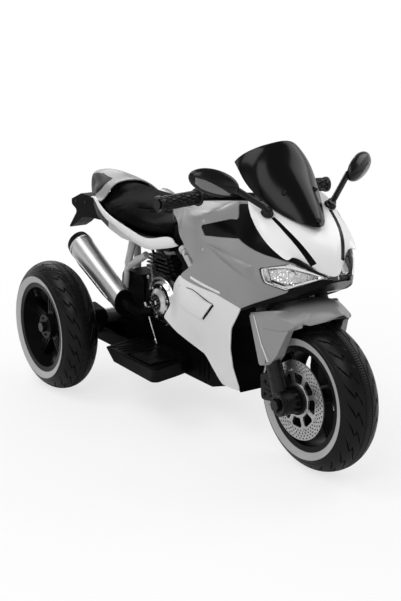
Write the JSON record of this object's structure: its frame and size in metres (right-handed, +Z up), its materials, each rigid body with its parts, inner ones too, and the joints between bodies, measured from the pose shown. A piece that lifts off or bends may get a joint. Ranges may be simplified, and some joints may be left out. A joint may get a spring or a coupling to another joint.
{
  "type": "kids electric ride-on trike",
  "caption": "Child's battery ride-on in sport motorcycle style: faired body, raked steering fork, padded seat, footboards, geared motors driving the rear wheels.",
  "frame": {"origin": "on the ground under the centre of the overall box", "axes": "+X forward, +Y to the rider's left, +Z up"},
  "size_m": [1.2116, 0.533, 0.6719],
  "materials": {
    "tyre_rubber": "matt rubber",
    "rim_black": "black moulded plastic with a silver lip",
    "disc_silver": "satin",
    "fork_black": "satin black",
    "axle_steel": "zinc plated",
    "caliper_black": "moulded",
    "frame_paint": "satin dark grey",
    "bush_nylon": "nylon",
    "grip_rubber": "knurled",
    "body_grey": "glossy mid grey",
    "body_white": "glossy white",
    "body_silver": "glossy silver white",
    "panel_black": "glossy black",
    "lens_clear": "clear moulded lens",
    "bowl_chrome": "vacuum chrome",
    "screen_smoke": "dark smoked",
    "screw_black": "black",
    "lamp_smoke": "smoked lens",
    "seat_leather": "soft black",
    "black_plastic": "moulded black",
    "cover_chrome": "vacuum chrome",
    "silencer_silver": "brushed",
    "mirror_black": "glossy black",
    "switch_red": "moulded",
    "gear_nylon": "nylon",
    "steel": "machined"
  },
  "bodies": {
    "chassis": {"steering_bushes": "bush_nylon", "upper_fairing_right": "body_grey", "upper_fairing_left": "body_grey", "lower_fairing_right": "body_silver", "lower_fairing_left": "body_silver", "side_vents": "panel_black", "headlight_lenses": "lens_clear", "headlight_bowls": "bowl_chrome", "chin_panel": "panel_black", "front_inner_panel": "black_plastic", "nose_cowl": "body_white", "windshield": "screen_smoke", "windshield_screws": "screw_black", "tank_cover": "body_grey", "tail_cowl": "body_grey", "tail_light": "lamp_smoke", "tail_trims": "body_silver", "seat_pad": "seat_leather", "seat_base": "black_plastic", "plate_holder": "panel_black", "main_tub": "black_plastic", "charge_socket": "black_plastic", "battery": "black_plastic", "control_box": "black_plastic", "engine_block": "black_plastic", "engine_covers": "cover_chrome", "frame_trellis": "cover_chrome", "muffler_can": "silencer_silver", "muffler_cap": "panel_black", "exhaust_pipe": "black_plastic", "main_frame": "frame_paint", "dash_panel": "black_plastic", "footboard_left": "black_plastic", "footboard_right": "black_plastic", "gearbox_cases": "black_plastic", "drive_motors": "steel", "rear_axle": "axle_steel"},
    "steering": {"fork_legs": "fork_black", "front_axle": "axle_steel", "brake_calipers": "caliper_black", "steering_stem": "frame_paint", "handlebar": "fork_black", "handle_grips": "grip_rubber", "front_fender": "body_grey"},
    "front_wheel": {"front_tyre": "tyre_rubber", "front_rim": "rim_black", "brake_discs": "disc_silver"},
    "rear_wheel_right": {"rear_tyre_right": "tyre_rubber", "rear_rim_right": "rim_black", "drive_gear_right": "gear_nylon"},
    "rear_wheel_left": {"rear_tyre_left": "tyre_rubber", "rear_rim_left": "rim_black", "drive_gear_left": "gear_nylon"},
    "pinion_right": {"motor_pinion_right": "steel"},
    "pinion_left": {"motor_pinion_left": "steel"},
    "pedal": {"accelerator_pedal": "grip_rubber"},
    "mirror_right_arm": {"mirror_right": "mirror_black"},
    "mirror_left_arm": {"mirror_left": "mirror_black"},
    "button": {"power_button": "switch_red"},
    "rocker": {"direction_switch": "black_plastic"}
  },
  "joints": [
    {"name": "steering", "type": "hinge", "parent": "chassis", "child": "steering", "pos_m": [0.401, 0, 0.16], "axis": [-0.3746, 0, 0.9272], "range_deg": [-17, 17]},
    {"name": "front_wheel_spin", "type": "hinge", "parent": "steering", "child": "front_wheel", "pos_m": [0.451, 0, 0.16], "axis": [0, 1, 0], "continuous": true},
    {"name": "rear_right_spin", "type": "hinge", "parent": "chassis", "child": "rear_wheel_right", "pos_m": [-0.314, -0.218, 0.16], "axis": [0, 1, 0], "continuous": true},
    {"name": "rear_left_spin", "type": "hinge", "parent": "chassis", "child": "rear_wheel_left", "pos_m": [-0.314, 0.218, 0.16], "axis": [0, 1, 0], "continuous": true},
    {"name": "motor_pinion_right_spin", "type": "hinge", "parent": "chassis", "child": "pinion_right", "pos_m": [-0.27453, -0.122, 0.17436], "axis": [0, 1, 0], "continuous": true},
    {"name": "motor_pinion_left_spin", "type": "hinge", "parent": "chassis", "child": "pinion_left", "pos_m": [-0.27453, 0.122, 0.17436], "axis": [0, 1, 0], "continuous": true},
    {"name": "accelerator_press", "type": "hinge", "parent": "chassis", "child": "pedal", "pos_m": [-0.027, -0.13, 0.144], "axis": [0, 1, 0], "range_deg": [0, 6], "stiffness_Nm_per_rad": 3, "springref_deg": -8.59},
    {"name": "mirror_right_turn", "type": "hinge", "parent": "chassis", "child": "mirror_right_arm", "pos_m": [0.372, -0.081, 0.537], "axis": [0.5299, -0.1213, 0.8393], "range_deg": [-20, 20]},
    {"name": "mirror_left_turn", "type": "hinge", "parent": "chassis", "child": "mirror_left_arm", "pos_m": [0.372, 0.081, 0.537], "axis": [0.5299, 0.1213, 0.8393], "range_deg": [-20, 20]},
    {"name": "power_press", "type": "slide", "parent": "chassis", "child": "button", "axis": [0, 0, -1], "range_m": [0, 0.002], "stiffness_N_per_m": 300, "springref_m": -0.002},
    {"name": "direction_rock", "type": "hinge", "parent": "chassis", "child": "rocker", "pos_m": [0.319, 0.034, 0.554], "axis": [0, 1, 0], "range_deg": [-10, 10]}
  ],
  "couplings": [
    {"joint": "motor_pinion_right_spin", "follows": "rear_right_spin", "ratio": -4},
    {"joint": "motor_pinion_left_spin", "follows": "rear_left_spin", "ratio": -4}
  ]
}
